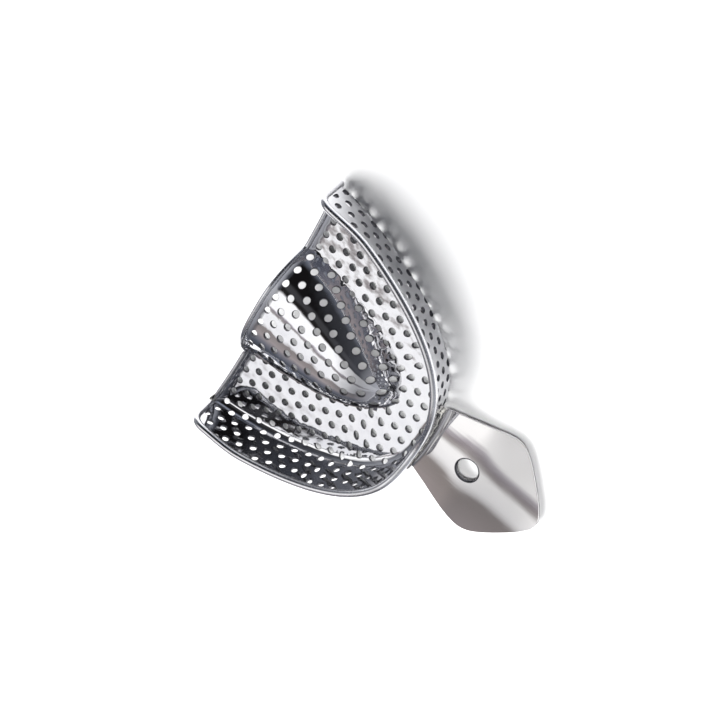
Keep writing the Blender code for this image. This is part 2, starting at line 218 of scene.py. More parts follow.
@dataclass(frozen=True)
class MetalFinish:
    """A metal and the way that its surface was made."""

    name: str
    colour: str
    worn_colour: str
    marks: Marks
    roughness: float
    roughness_spread: float
    mark_mm: float
    mark_depth_mm: float
    wave_mm: float
    wave_depth_mm: float

    def shared(self) -> bpy.types.Material:
        """The finish's material, made once."""
        return bpy.data.materials.get(self.name) or self.material()

    def material(self) -> bpy.types.Material:
        """Build the finish's node material.

        Returns:
            The material.
        """
        made = bpy.data.materials.new(self.name)
        made.use_nodes = True
        tree = made.node_tree
        shader = tree.nodes["Principled BSDF"]
        place = add_node(tree, "ShaderNodeTexCoord")
        stretched = add_node(tree, "ShaderNodeMapping", {"Scale": self.marks.value},
                             {"Vector": place.outputs["Object"]})
        marks = add_node(tree, "ShaderNodeTexNoise",
                         {"Scale": per_metre(self.mark_mm), "Detail": 4.0, "Roughness": 0.6},
                         {"Vector": stretched.outputs["Vector"]})
        waves = add_node(tree, "ShaderNodeTexNoise",
                         {"Scale": per_metre(self.wave_mm), "Detail": 1.5, "Roughness": 0.45},
                         {"Vector": place.outputs["Object"]})
        gloss = add_node(tree, "ShaderNodeMapRange",
                         {"From Min": 0.3, "From Max": 0.7,
                          "To Min": max(0.02, self.roughness - self.roughness_spread),
                          "To Max": self.roughness + self.roughness_spread},
                         {"Value": marks.outputs["Fac"]})
        tint = add_node(tree, "ShaderNodeMix", {6: linear(self.worn_colour), 7: linear(self.colour)},
                        {0: waves.outputs["Fac"]}, data_type="RGBA")
        coarse = add_node(tree, "ShaderNodeBump", {"Strength": 1.0, "Distance": self.wave_depth_mm * MM},
                          {"Height": waves.outputs["Fac"]})
        fine = add_node(tree, "ShaderNodeBump", {"Strength": 1.0, "Distance": self.mark_depth_mm * MM},
                        {"Height": marks.outputs["Fac"], "Normal": coarse.outputs["Normal"]})
        shader.inputs["Metallic"].default_value = 1.0
        tree.links.new(tint.outputs[2], shader.inputs["Base Color"])
        tree.links.new(gloss.outputs["Result"], shader.inputs["Roughness"])
        tree.links.new(fine.outputs["Normal"], shader.inputs["Normal"])
        return made


# Real buffing marks are far finer than a tenth of a millimetre. Each finish draws them coarser, so that
# they show.

# Stainless sheet, punched, pressed and then buffed: mirror bright, with the slow waves that punching leaves.
SHEET_STEEL = MetalFinish("buffed_stainless_sheet", "#e8e8ea", "#dcdce0", Marks.EVEN,
                          0.05, 0.03, 0.35, 0.0008, 3.2, 0.055)
# Stainless wire, drawn and buffed: a soft bright line beside a darker one along its length.
WIRE_STEEL = MetalFinish("buffed_stainless_wire", "#e8e8ea", "#dadade", Marks.EVEN,
                         0.24, 0.05, 0.3, 0.0008, 5.0, 0.012)
# Thicker stainless blank, stamped and polished: long soft bands of reflection, slightly warm.
HANDLE_STEEL = MetalFinish("polished_stamped_stainless", "#e8e6e6", "#dedcdb", Marks.LENGTHWISE,
                           0.06, 0.02, 0.5, 0.0006, 9.0, 0.012)
# Silver solder as it ran and froze: brighter than steel in spots, lumpy and a little dull.
SOLDER = MetalFinish("frozen_silver_solder", "#dedcd6", "#b4b2ac", Marks.EVEN,
                     0.22, 0.10, 0.4, 0.010, 0.9, 0.060)
# Sheet steel where the punch cut through it: rough like a real shear cut, and coloured darker than steel as
# painted shade, so that each hole and the sheet's cut edge show a dark wall.
CUT_EDGE_STEEL_PAINTED_SHADE = MetalFinish("stainless_cut_edge_painted_shade", "#7c7c80", "#5c5c60", Marks.EVEN,
                            0.42, 0.10, 0.2, 0.006, 0.8, 0.010)


@dataclass(frozen=True)
class PaperFinish:
    """Matt white backdrop paper. Its fibres are drawn coarser than real ones, so that they show."""

    name: str = "white_studio_paper"
    colour: str = "#dadada"
    fibre_mm: float = 0.8
    fibre_depth_mm: float = 0.01

    def material(self) -> bpy.types.Material:
        """Build the paper's node material.

        Returns:
            The material.
        """
        made = bpy.data.materials.new(self.name)
        made.use_nodes = True
        tree = made.node_tree
        shader = tree.nodes["Principled BSDF"]
        shader.inputs["Base Color"].default_value = linear(self.colour)
        shader.inputs["Roughness"].default_value = 0.95
        shader.inputs["Specular IOR Level"].default_value = 0.0
        place = add_node(tree, "ShaderNodeTexCoord")
        fibres = add_node(tree, "ShaderNodeTexNoise", {"Scale": per_metre(self.fibre_mm)},
                          {"Vector": place.outputs["Object"]})
        bump = add_node(tree, "ShaderNodeBump", {"Distance": self.fibre_depth_mm * MM},
                        {"Height": fibres.outputs["Fac"]})
        tree.links.new(bump.outputs["Normal"], shader.inputs["Normal"])
        return made


# ------------------------------------------------------------------ mesh makers

Surface = Callable[[Array], Array]


@dataclass
class SheetMesher:
    """Makes a closed mesh of a sheet with punched holes, whose flat outline is pressed into a form."""

    form: Surface
    thickness: float
    below: float
    edge_break: float
    probe: float = 0.12

    def normals(self, points: Array) -> Array:
        """Upward normals of the formed sheet at flat points.

        Args:
            points: Flat points.

        Returns:
            One unit normal for each point.
        """
        across = np.array([self.probe, 0.0])
        along = np.array([0.0, self.probe])
        step_x = self.form(points + across) - self.form(points - across)
        step_y = self.form(points + along) - self.form(points - along)
        return unit(np.cross(step_x, step_y))

    def build(self, name: str, outline: Array, rings: list[tuple[Array, ...]],
              fillers: Array) -> bpy.types.Mesh:
        """Press, thicken and close the sheet.

        Args:
            name: The mesh's name.
            outline: Outer edge of the flat sheet, anticlockwise.
            rings: For each hole, its wall ring, its lip ring and any rings further out.
            fillers: Extra flat points that help the triangles follow the form.

        Returns:
            The finished mesh, with its own normals.
        """
        inner = closed_offset(outline, -self.edge_break)
        groups = [inner] + [ring for hole in rings for ring in hole[1:]]
        flat = np.vstack(groups + [fillers])
        edges, owner, start = [], np.full(len(flat), -1), 0
        for index, ring in enumerate(groups):
            ids = np.arange(start, start + len(ring))
            edges += list(zip(ids.tolist(), np.roll(ids, -1).tolist()))
            owner[ids] = index
            start += len(ring)
        lips = {1 + sum(len(hole) - 1 for hole in rings[:k]) for k in range(len(rings))}
        placed, _, faces, _, _, _ = delaunay_2d_cdt([Vector(p) for p in flat], edges, [], 0, 1e-7)
        if len(placed) != len(flat):
            raise ValueError(f"{name}: the flat outline crosses itself")
        triangles = np.array([face for face in faces if len(face) == 3])
        owners = owner[triangles]
        same = (owners[:, 0] == owners[:, 1]) & (owners[:, 1] == owners[:, 2])
        in_hole = same & np.isin(owners[:, 0], list(lips))
        keep = ~in_hole & inside_outline(flat[triangles].mean(axis=1), inner)
        triangles = triangles[keep]
        base, up = self.form(flat), self.normals(flat)
        bottom = base - up * self.below
        top = bottom + up * self.thickness
        vertices, normals = [top, bottom], [up, -up]
        # Faces of the punched holes and the cut edge; they take the darker cut-edge material, whose dark
        # colour is painted shade.
        cut_faces_with_painted_shade = []
        polygons = [tuple(t) for t in triangles.tolist()]
        polygons += [tuple(t[::-1] + len(flat)) for t in triangles]
        count = 2 * len(flat)
        walls = [(outline, np.arange(len(inner)), 1.0)]
        start = len(inner)
        for hole in rings:
            walls.append((hole[0], np.arange(start, start + len(hole[1])), -1.0))
            start += sum(len(ring) for ring in hole[1:])
        for wall, lip, side in walls:
            wall_base, wall_up = self.form(wall), self.normals(wall)
            low = wall_base - wall_up * (self.below - self.edge_break)
            high = wall_base - wall_up * (self.below - self.thickness + self.edge_break)
            around = unit(np.roll(wall_base, -1, axis=0) - np.roll(wall_base, 1, axis=0))
            facing = side * unit(np.cross(around, wall_up))
            vertices += [high, low]
            normals += [facing, facing]
            size = len(wall)
            upper = count + np.arange(size)
            lower = upper + size
            bands = [(lip, upper), (upper, lower), (lower, lip + len(flat))]
            for first, second in bands:
                quads = np.column_stack([first, second, np.roll(second, -1), np.roll(first, -1)])
                quads = quads if side > 0 else quads[:, ::-1]
                if side < 0 or first is upper:
                    cut_faces_with_painted_shade += range(len(polygons), len(polygons) + size)
                polygons += [tuple(q) for q in quads.tolist()]
            count += 2 * size
        mesh = bpy.data.meshes.new(name)
        mesh.from_pydata((np.vstack(vertices) * MM).tolist(), [], polygons)
        slots = np.zeros(len(polygons), dtype=np.int32)
        slots[cut_faces_with_painted_shade] = 1
        mesh.materials.append(None)
        # Second slot: the cut-edge steel, rough and darkened as painted shade on each hole's wall.
        mesh.materials.append(CUT_EDGE_STEEL_PAINTED_SHADE.shared())
        mesh.polygons.foreach_set("material_index", slots)
        mesh.update()
        mesh.shade_smooth()
        mesh.normals_split_custom_set_from_vertices(np.vstack(normals).tolist())
        return mesh


def swept_tube(name: str, path: Array, radii: Array, sides: int = 20, cap_rings: int = 4) -> bpy.types.Mesh:
    """Round tube along a path, with rounded ends.

    Args:
        name: The mesh's name.
        path: Middle of the tube, in millimetres.
        radii: Radius at each point of the path.
        sides: Points around the tube.
        cap_rings: Rings in each rounded end.

    Returns:
        The closed mesh.
    """
    tangent = unit(np.gradient(path, axis=0))
    quarter = np.linspace(0.0, math.pi / 2, cap_rings + 1)[1:]
    first = [path[0] - tangent[0] * radii[0] * math.sin(a) for a in quarter[::-1]]
    last = [path[-1] + tangent[-1] * radii[-1] * math.sin(a) for a in quarter]
    line = np.vstack([first, path, last])
    width = np.concatenate([radii[0] * np.cos(quarter[::-1]), radii, radii[-1] * np.cos(quarter)])
    starts, finishes = np.repeat(tangent[:1], cap_rings, 0), np.repeat(tangent[-1:], cap_rings, 0)
    tangent = np.vstack([starts, tangent, finishes])
    side = unit(np.cross(tangent[0], [0.0, 0.0, 1.0]) + 1e-6)
    angle = np.linspace(0.0, 2.0 * math.pi, sides, endpoint=False)
    rings = []
    for centre, along, radius in zip(line, tangent, width.clip(1e-3)):
        side = unit(side - along * (side @ along))
        other = np.cross(along, side)
        rings.append(centre + radius * (np.outer(np.cos(angle), side) + np.outer(np.sin(angle), other)))
    vertices = np.vstack(rings)
    polygons = []
    ids = np.arange(sides)
    for ring in range(len(line) - 1):
        near = ring * sides + ids
        far = near + sides
        quads = np.column_stack([near, np.roll(near, -1), np.roll(far, -1), far])
        polygons += [tuple(q) for q in quads.tolist()]
    polygons.append(tuple(ids[::-1].tolist()))
    polygons.append(tuple((ids + (len(line) - 1) * sides).tolist()))
    mesh = bpy.data.meshes.new(name)
    mesh.from_pydata((vertices * MM).tolist(), [], polygons)
    mesh.update()
    mesh.shade_smooth()
    return mesh


# ------------------------------------------------------------------ the pressed form

@dataclass
class TrayForm:
    """Shape of the pressed sheet, in millimetres from the middle of the heel line."""

    half_width: float = 35.2
    pan_length: float = 46.4
    side_power: float = 0.69
    front_power: float = 1.6
    sheet: float = 0.7
    wall_height: float = 12.3
    wall_flare: float = 1.7
    flare_run: float = 14.0
    foot_radius: float = 3.0
    notch_depth: float = 3.1
    notch_half_width: float = 13.0
    vault_height_mm: float = 9.0
    vault_half_width: float = 15.4
    vault_length: float = 35.3
    vault_taper_length: float = 36.5
    vault_side_power: float = 2.7
    vault_taper_power: float = 0.64
    vault_taper_bow: float = 1.5
    vault_nose_power: float = 8.0
    vault_foot_blend: float = 0.5
    back_edge_y: float = 1.13
    back_corner_sweep: float = 1.0
    lip_rise: float = 1.4
    lip_run: float = 2.2
    heel_slant: float = 0.14
    heel_corner_radius: float = 3.4
    handle_tip_reach: float = 77.7624
    draw_share: float = 0.8
    plan_points: Array = field(init=False, repr=False)
    plan_normals: Array = field(init=False, repr=False)
    heel_line: float = field(init=False)

    def __post_init__(self) -> None:
        """Work out the plan and the heel line's place in the row frame."""
        handle_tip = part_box("handle")[0].y / MM
        self.heel_line = handle_tip + self.handle_tip_reach
        outline = self.plan(961)
        behind = 6.0
        ends = np.array([[self.half_width, behind], [-self.half_width, behind]])
        self.plan_points = np.vstack([ends[:1], outline, ends[1:]])
        along = np.gradient(self.plan_points, axis=0)
        self.plan_normals = unit(np.column_stack([-along[:, 1], along[:, 0]]))
        if self.plan_normals[0, 0] < 0.0:
            self.plan_normals = -self.plan_normals

    def plan(self, count: int) -> Array:
        """Outer face of the wall's foot from the right heel to the left one.

        Args:
            count: How many evenly spaced points to return.

        Returns:
            The points.
        """
        angle = np.linspace(0.0, math.pi, 6001)
        x = self.half_width * np.sign(np.cos(angle)) * np.abs(np.cos(angle)) ** self.side_power
        y = -self.pan_length * np.sin(angle).clip(0.0) ** self.front_power
        return resample(np.column_stack([x, y]), count)

    def nearest(self, points: Array) -> tuple[Array, Array, Array]:
        """Closest point of the plan.

        Args:
            points: Flat points.

        Returns:
            Foot points, outward normals and signed distances outside the plan.
        """
        feet, normals, gaps = [], [], []
        start = self.plan_points[:-1]
        step = self.plan_points[1:] - start
        size = (step * step).sum(axis=1)
        for part in np.array_split(points, max(1, len(points) // 1500)):
            offset = part[:, None, :] - start[None, :, :]
            share = np.clip((offset * step).sum(axis=2) / size, 0.0, 1.0)
            miss = offset - share[:, :, None] * step
            best = (miss * miss).sum(axis=2).argmin(axis=1)
            share = share[np.arange(len(part)), best][:, None]
            normal = unit(self.plan_normals[best] * (1.0 - share) + self.plan_normals[best + 1] * share)
            foot = start[best] + share * step[best]
            feet.append(foot)
            normals.append(normal)
            gaps.append(((part - foot) * normal).sum(axis=1))
        return np.vstack(feet), np.vstack(normals), np.concatenate(gaps)

    def vault(self, x: Array, y: Array) -> Array:
        """Rise of the palatal vault above the trough's floor.

        Args:
            x: Distances across.
            y: Distances behind the heel line.

        Returns:
            Heights in millimetres.
        """
        depth = np.abs(np.minimum(y, 0.0))
        share = 1.0 - (depth / self.vault_taper_length) ** self.vault_taper_bow
        taper = np.clip(share, 0.02, 1.0) ** self.vault_taper_power
        side = (np.sqrt(x * x + 1.0) - 1.0) / (self.vault_half_width * taper)
        nose = 1.0 - (depth / self.vault_length) ** self.vault_nose_power
        rise = self.vault_height_mm * (nose - side ** self.vault_side_power)
        return smooth_ramp(rise, self.vault_foot_blend)

    def back_edge(self, x: Array) -> Array:
        """Where the middle of the back wire runs, for each x."""
        return self.back_edge_y + self.back_corner_sweep * (np.abs(x) / self.half_width) ** 4

    def lip(self, x: Array, y: Array) -> Array:
        """Small upturn along the back edge."""
        into = np.clip(1.0 - (self.back_edge(x) - y) / self.lip_run, 0.0, 1.3)
        return self.lip_rise * into ** 2

    def rim_height(self, foot: Array) -> Array:
        """Height of the rim wire's middle over points of the plan, with the notch at the front.

        Args:
            foot: Points of the plan.

        Returns:
            Heights in millimetres.
        """
        across = np.clip(np.abs(foot[:, 0]) / self.notch_half_width, 0.0, 1.0)
        at_front = (foot[:, 1] < -self.pan_length / 2).astype(float)
        return self.wall_height - self.notch_depth * (0.5 + 0.5 * np.cos(math.pi * across)) * at_front

    def flare(self, foot: Array, height: Array) -> Array:
        """How far the wall leans out at a height.

        Args:
            foot: Points of the plan.
            height: Height of each point.

        Returns:
            Distances in millimetres.
        """
        forward = np.clip(-foot[:, 1] / self.flare_run, 0.0, 1.0)
        share = np.clip((height - self.foot_radius) / (self.wall_height - self.foot_radius), 0.0, 1.5)
        return self.wall_flare * forward * forward * (3.0 - 2.0 * forward) * share

    def pressed(self, points: Array) -> Array:
        """Underside of the sheet after pressing.

        Args:
            points: Flat points.

        Returns:
            Points in the row frame, in millimetres.
        """
        foot, normal, outside = self.nearest(points)
        turn = np.clip((outside + self.foot_radius) / self.foot_radius, 0.0, math.pi / 2)
        above = np.clip(outside + self.foot_radius * (1.0 - math.pi / 2), 0.0, None)
        height = self.foot_radius * (1.0 - np.cos(turn)) + above
        sideways = self.foot_radius * (np.sin(turn) - 1.0) + self.flare(foot, height)
        flat = np.where((turn > 0.0)[:, None], foot + normal * sideways[:, None], points)
        floor = self.vault(points[:, 0], points[:, 1]) + self.lip(points[:, 0], points[:, 1])
        fade = np.clip(1.0 - turn / (math.pi / 2), 0.0, 1.0)
        return np.column_stack([flat[:, 0], flat[:, 1] + self.heel_line, height + floor * fade])

    def reach(self, height: Array) -> Array:
        """Distance outside the plan, on the flat sheet, of a height on the wall."""
        return height + self.foot_radius * (math.pi / 2 - 2.0)

    def wall_middle(self, foot: Array, normal: Array, height: Array, outward: float = 0.0) -> Array:
        """Middle of the sheet's thickness on the wall, in the row frame.

        Args:
            foot: Points of the plan.
            normal: Their outward normals.
            height: Height of each point.
            outward: Extra distance outside the sheet's middle.

        Returns:
            Points in millimetres.
        """
        move = self.flare(foot, height) - self.sheet / 2 + outward
        flat = foot + normal * move[:, None]
        return np.column_stack([flat[:, 0], flat[:, 1] + self.heel_line, height])

    def drawn(self, points: Array) -> Array:
        """Where points of the flat perforated stock lie once the vault has drawn them inwards.

        Args:
            points: Points of the stock.

        Returns:
            Points of the sheet seen from above, before the walls are folded.
        """
        grid = np.linspace(0.0, self.vault_half_width + 3.0, 121)
        moved = points.copy()
        for part in np.array_split(np.arange(len(points)), max(1, len(points) // 2000)):
            depth = np.repeat(points[part, 1][:, None], len(grid), axis=1)
            heights = self.vault(np.repeat(grid[None, :], len(part), axis=0), depth)
            length = np.hypot(np.diff(grid)[None, :], np.diff(heights, axis=1)).cumsum(axis=1)
            length = np.column_stack([np.zeros(len(part)), length])
            length = grid[None, :] + self.draw_share * (length - grid[None, :])
            for row, index in enumerate(part):
                side = abs(points[index, 0])
                beyond = max(0.0, side - length[row, -1])
                drawn_in = np.interp(side, length[row], grid) + beyond
                moved[index, 0] = math.copysign(drawn_in, points[index, 0])
        return moved

    def heel_corner(self) -> tuple[float, float]:
        """Y and height of the middle of the rounded corner at the wall's rear edge.

        Returns:
            Y from the heel line and the height, in millimetres.
        """
        height = self.wall_height - self.heel_corner_radius
        heel_y = self.back_edge_y + self.back_corner_sweep
        return heel_y - self.heel_slant * height - self.heel_corner_radius, height

    def blank(self, rim_room: float, back_room: float) -> Array:
        """Outline of the pan's flat sheet, anticlockwise.

        Args:
            rim_room: Distance from the rim wire's middle to the sheet's edge.
            back_room: Distance from the back wire's middle to the sheet's edge.

        Returns:
            Points of the outline.
        """
        corner_y, corner_z = self.heel_corner()
        back_x = np.linspace(0.0, self.half_width, 60)
        near_wall = np.clip((back_x - self.half_width + 5.0) / 3.0, 0.0, 1.0)
        back_y = self.back_edge(back_x) - back_room - (rim_room - back_room) * near_wall
        radius = self.heel_corner_radius - rim_room
        rise_z = np.linspace(self.foot_radius, corner_z - 0.5, 12)
        rise_y = back_y[-1] + (corner_y + radius - back_y[-1]) * rise_z / corner_z
        angle = np.linspace(math.pi / 2, 0.0, 14)
        wall_y = np.concatenate([rise_y, corner_y + radius * np.sin(angle)])
        wall_z = np.concatenate([rise_z, corner_z + radius * np.cos(angle)])
        foot, normal, _ = self.nearest(np.column_stack([np.full_like(wall_y, self.half_width), wall_y]))
        heel = foot + normal * self.reach(wall_z)[:, None]
        plan = self.plan(401)
        half = plan[: len(plan) // 2 + 1]
        half = half[half[:, 1] < corner_y - 0.8]
        foot, normal, _ = self.nearest(half)
        rim = foot + normal * self.reach(self.rim_height(foot) - rim_room)[:, None]
        rim[-1, 0] = 0.0
        right = np.vstack([np.column_stack([back_x, back_y]), heel, rim])
        left = right[-2:0:-1] * np.array([-1.0, 1.0])
        return np.vstack([right, left])[::-1]


# ------------------------------------------------------------------ sub-assemblies

def show(name: str, mesh: bpy.types.Mesh, finish: MetalFinish, slot: str, *nodes: str) -> bpy.types.Object:
    """Put a piece in the scene, dress it and tie it to the frame.

    Args:
        name: The piece's name.
        mesh: Its mesh.
        finish: Its finish.
        slot: The record's material slot; not used.
        nodes: The CAD nodes that it stands for.

    Returns:
        The piece.
    """
    piece = bpy.data.objects.new(name, mesh)
    bpy.context.scene.collection.objects.link(piece)
    if mesh.materials:
        mesh.materials[0] = finish.shared()
    else:
        mesh.materials.append(finish.shared())
    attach(piece, "root")
    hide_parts(*nodes)
    LOG.info("%s: %d vertices, %d faces", name, len(mesh.vertices), len(mesh.polygons))
    return piece


@dataclass
class PerforatedPan:
    """The pressed pan, punched with round holes in a triangular pattern."""

    form: TrayForm
    hole_radius: float = 0.84
    hole_pitch: float = 3.78
    row_pitch: float = 3.13
    first_row_y: float = -0.85
    hole_sides: int = 24
    edge_web: float = 0.26
    edge_break: float = 0.11
    edge_under_rim_wire: float = 0.25
    edge_under_back_wire: float = 0.15
    filler_edge_room: float = 0.5
    filler_hole_room: float = 0.3

    def hole_centres(self, outline: Array) -> Array:
        """Centres of the holes, on the flat stock, that keep a web of metal to the edge.

        Args:
            outline: Edge of the flat sheet.

        Returns:
            One centre for each hole.
        """
        reach = self.form.half_width + self.form.wall_height + 4.0 * self.hole_pitch
        columns = int(reach / self.hole_pitch)
        rows = int((self.form.pan_length + self.form.wall_height) / self.row_pitch) + 2
        centres = [[(column + 0.5 * (1 - row % 2)) * self.hole_pitch,
                    self.first_row_y - row * self.row_pitch]
                   for row in range(rows) for column in range(-columns, columns + 1)]
        stock = np.array(centres)
        seen = self.form.drawn(stock)
        room = outline_distance(seen, outline) > self.hole_radius + self.edge_web
        return stock[inside_outline(seen, outline) & room]

    def hole_rings(self, centres: Array) -> list[tuple[Array, ...]]:
        """Wall ring and lip ring of each hole, as the vault draws them.

        Args:
            centres: Centres on the flat stock.

        Returns:
            The rings of each hole.
        """
        angle = np.arange(self.hole_sides) * 2.0 * math.pi / self.hole_sides
        circle = np.column_stack([np.cos(angle), np.sin(angle)])
        radii = (self.hole_radius, self.hole_radius + self.edge_break)
        points = np.vstack([centre + circle * radius for centre in centres for radius in radii])
        placed = self.form.drawn(points).reshape(len(centres), len(radii), self.hole_sides, 2)
        return [tuple(hole) for hole in placed]

    def fillers(self, centres: Array, outline: Array) -> Array:
        """Points in the webs between holes, so that the triangles there follow the form.

        Args:
            centres: Centres of the holes on the flat stock.
            outline: Edge of the flat sheet.

        Returns:
            The points, each once.
        """
        pitch = self.hole_pitch
        spots = np.array([[0.0, pitch / math.sqrt(3.0)], [0.0, -pitch / math.sqrt(3.0)], [pitch / 2, 0.0],
                          [pitch / 4, pitch * math.sqrt(3.0) / 4], [-pitch / 4, pitch * math.sqrt(3.0) / 4]])
        points = (centres[:, None, :] + spots[None, :, :]).reshape(-1, 2)
        points = self.form.drawn(points)
        inside = inside_outline(points, outline) & (outline_distance(points, outline) > self.filler_edge_room)
        points = points[inside]
        seen = self.form.drawn(centres)
        room = self.hole_radius + self.filler_hole_room
        clear = np.array([np.hypot(*(seen - p).T).min() > room for p in points])
        rounded = np.round(points[clear], 3)
        return np.unique(rounded, axis=0)

    def build(self) -> bpy.types.Object:
        """Make the pan.

        Returns:
            The piece.
        """
        outline = self.form.blank(self.edge_under_rim_wire, self.edge_under_back_wire)
        centres = self.hole_centres(outline)
        mesher = SheetMesher(self.form.pressed, self.form.sheet, 0.0, self.edge_break)
        fillers = self.fillers(centres, outline)
        mesh = mesher.build("pan_perforated", outline, self.hole_rings(centres), fillers)
        LOG.info("pan: %d holes", len(centres))
        return show("pan_perforated", mesh, SHEET_STEEL, "perforated_stainless_steel", "perforated_pan")


@dataclass
class EdgeWires:
    """The rim wire, the thinner back wire and the solder that joins them at the heels."""

    form: TrayForm
    rim_radius: float = 0.9
    back_radius: float = 0.6
    solder_radius: float = 1.05
    solder_rise: float = 0.9
    solder_inward: float = 1.6
    wall_climb: float = 0.4

    def rim_path(self) -> Array:
        """Middle of the rim wire: up one heel, along the rim and down the other heel.

        Returns:
            Points in the row frame, in millimetres.
        """
        form = self.form
        corner_y, corner_z = form.heel_corner()
        heel_y = corner_y + form.heel_corner_radius
        rise_z = np.linspace(self.rim_radius + self.back_radius, corner_z, 12)
        rise_y = heel_y + form.heel_slant * (corner_z - rise_z)
        angle = np.linspace(math.radians(85.0), math.radians(5.0), 12)
        turn_y = corner_y + form.heel_corner_radius * np.sin(angle)
        turn_z = corner_z + form.heel_corner_radius * np.cos(angle)
        foot, normal, _ = form.nearest(np.column_stack([np.full(24, form.half_width),
                                                        np.concatenate([rise_y, turn_y])]))
        heel = form.wall_middle(foot, normal, np.concatenate([rise_z, turn_z]))
        plan = form.plan(401)
        half = plan[: len(plan) // 2 + 1]
        half = half[half[:, 1] < corner_y - 0.6]
        foot, normal, _ = form.nearest(half)
        right = np.vstack([heel, form.wall_middle(foot, normal, form.rim_height(foot))])
        left = right[-2::-1] * np.array([-1.0, 1.0, 1.0])
        return relax(resample(np.vstack([right, left]), 520), 12)

    def back_path(self) -> Array:
        """Middle of the back wire, over the vault from heel to heel.

        Returns:
            Points in the row frame, in millimetres.
        """
        form = self.form
        reach = form.half_width - form.sheet / 2
        x = np.linspace(reach, -reach, 260)
        y = form.back_edge(x)
        below = form.pressed(np.column_stack([x, y]))[:, 2]
        flat_floor = form.lip(x, y) + form.vault(x, y)
        height = np.minimum(below, flat_floor + self.wall_climb) + form.sheet / 2
        return relax(resample(np.column_stack([x, y + form.heel_line, height]), 260), 10)

    def build(self) -> list[bpy.types.Object]:
        """Make the two wires and the two heel joints.

        Returns:
            The four pieces.
        """
        rim = self.rim_path()
        back = self.back_path()
        rim_mesh = swept_tube("wire_rim", rim, np.full(len(rim), self.rim_radius))
        back_mesh = swept_tube("wire_back", back, np.full(len(back), self.back_radius), 16)
        pieces = [show("wire_rim", rim_mesh, WIRE_STEEL, "stainless_wire", "rim_wire"),
                  show("wire_back", back_mesh, WIRE_STEEL, "stainless_wire", "back_wire")]
        for side, end, node in ((1, 0, "heel_solder_right"), (-1, -1, "heel_solder_left")):
            pieces.append(self.heel_joint(side, rim[end], back[end], node))
        return pieces

    def heel_joint(self, side: int, rim_end: Array, back_end: Array, node: str) -> bpy.types.Object:
        """Lump of solder where the two wires meet.

        Args:
            side: One at the right heel and minus one at the left.
            rim_end: End of the rim wire.
            back_end: End of the back wire.
            node: The CAD node that it stands for.

        Returns:
            The piece.
        """
        inward = np.array([-side * self.solder_inward, 0.0, 0.0])
        path = np.linspace(rim_end + np.array([0.0, 0.0, self.solder_rise]), back_end + inward, 14)
        share = np.linspace(0.0, 1.0, len(path))
        bulge = self.solder_radius * (0.72 + 0.28 * np.sin(math.pi * share)) * (1.0 - 0.35 * share)
        name = node.replace("heel_solder", "solder_heel")
        return show(name, swept_tube(name, path, bulge, 18), SOLDER, "silver_solder", node)


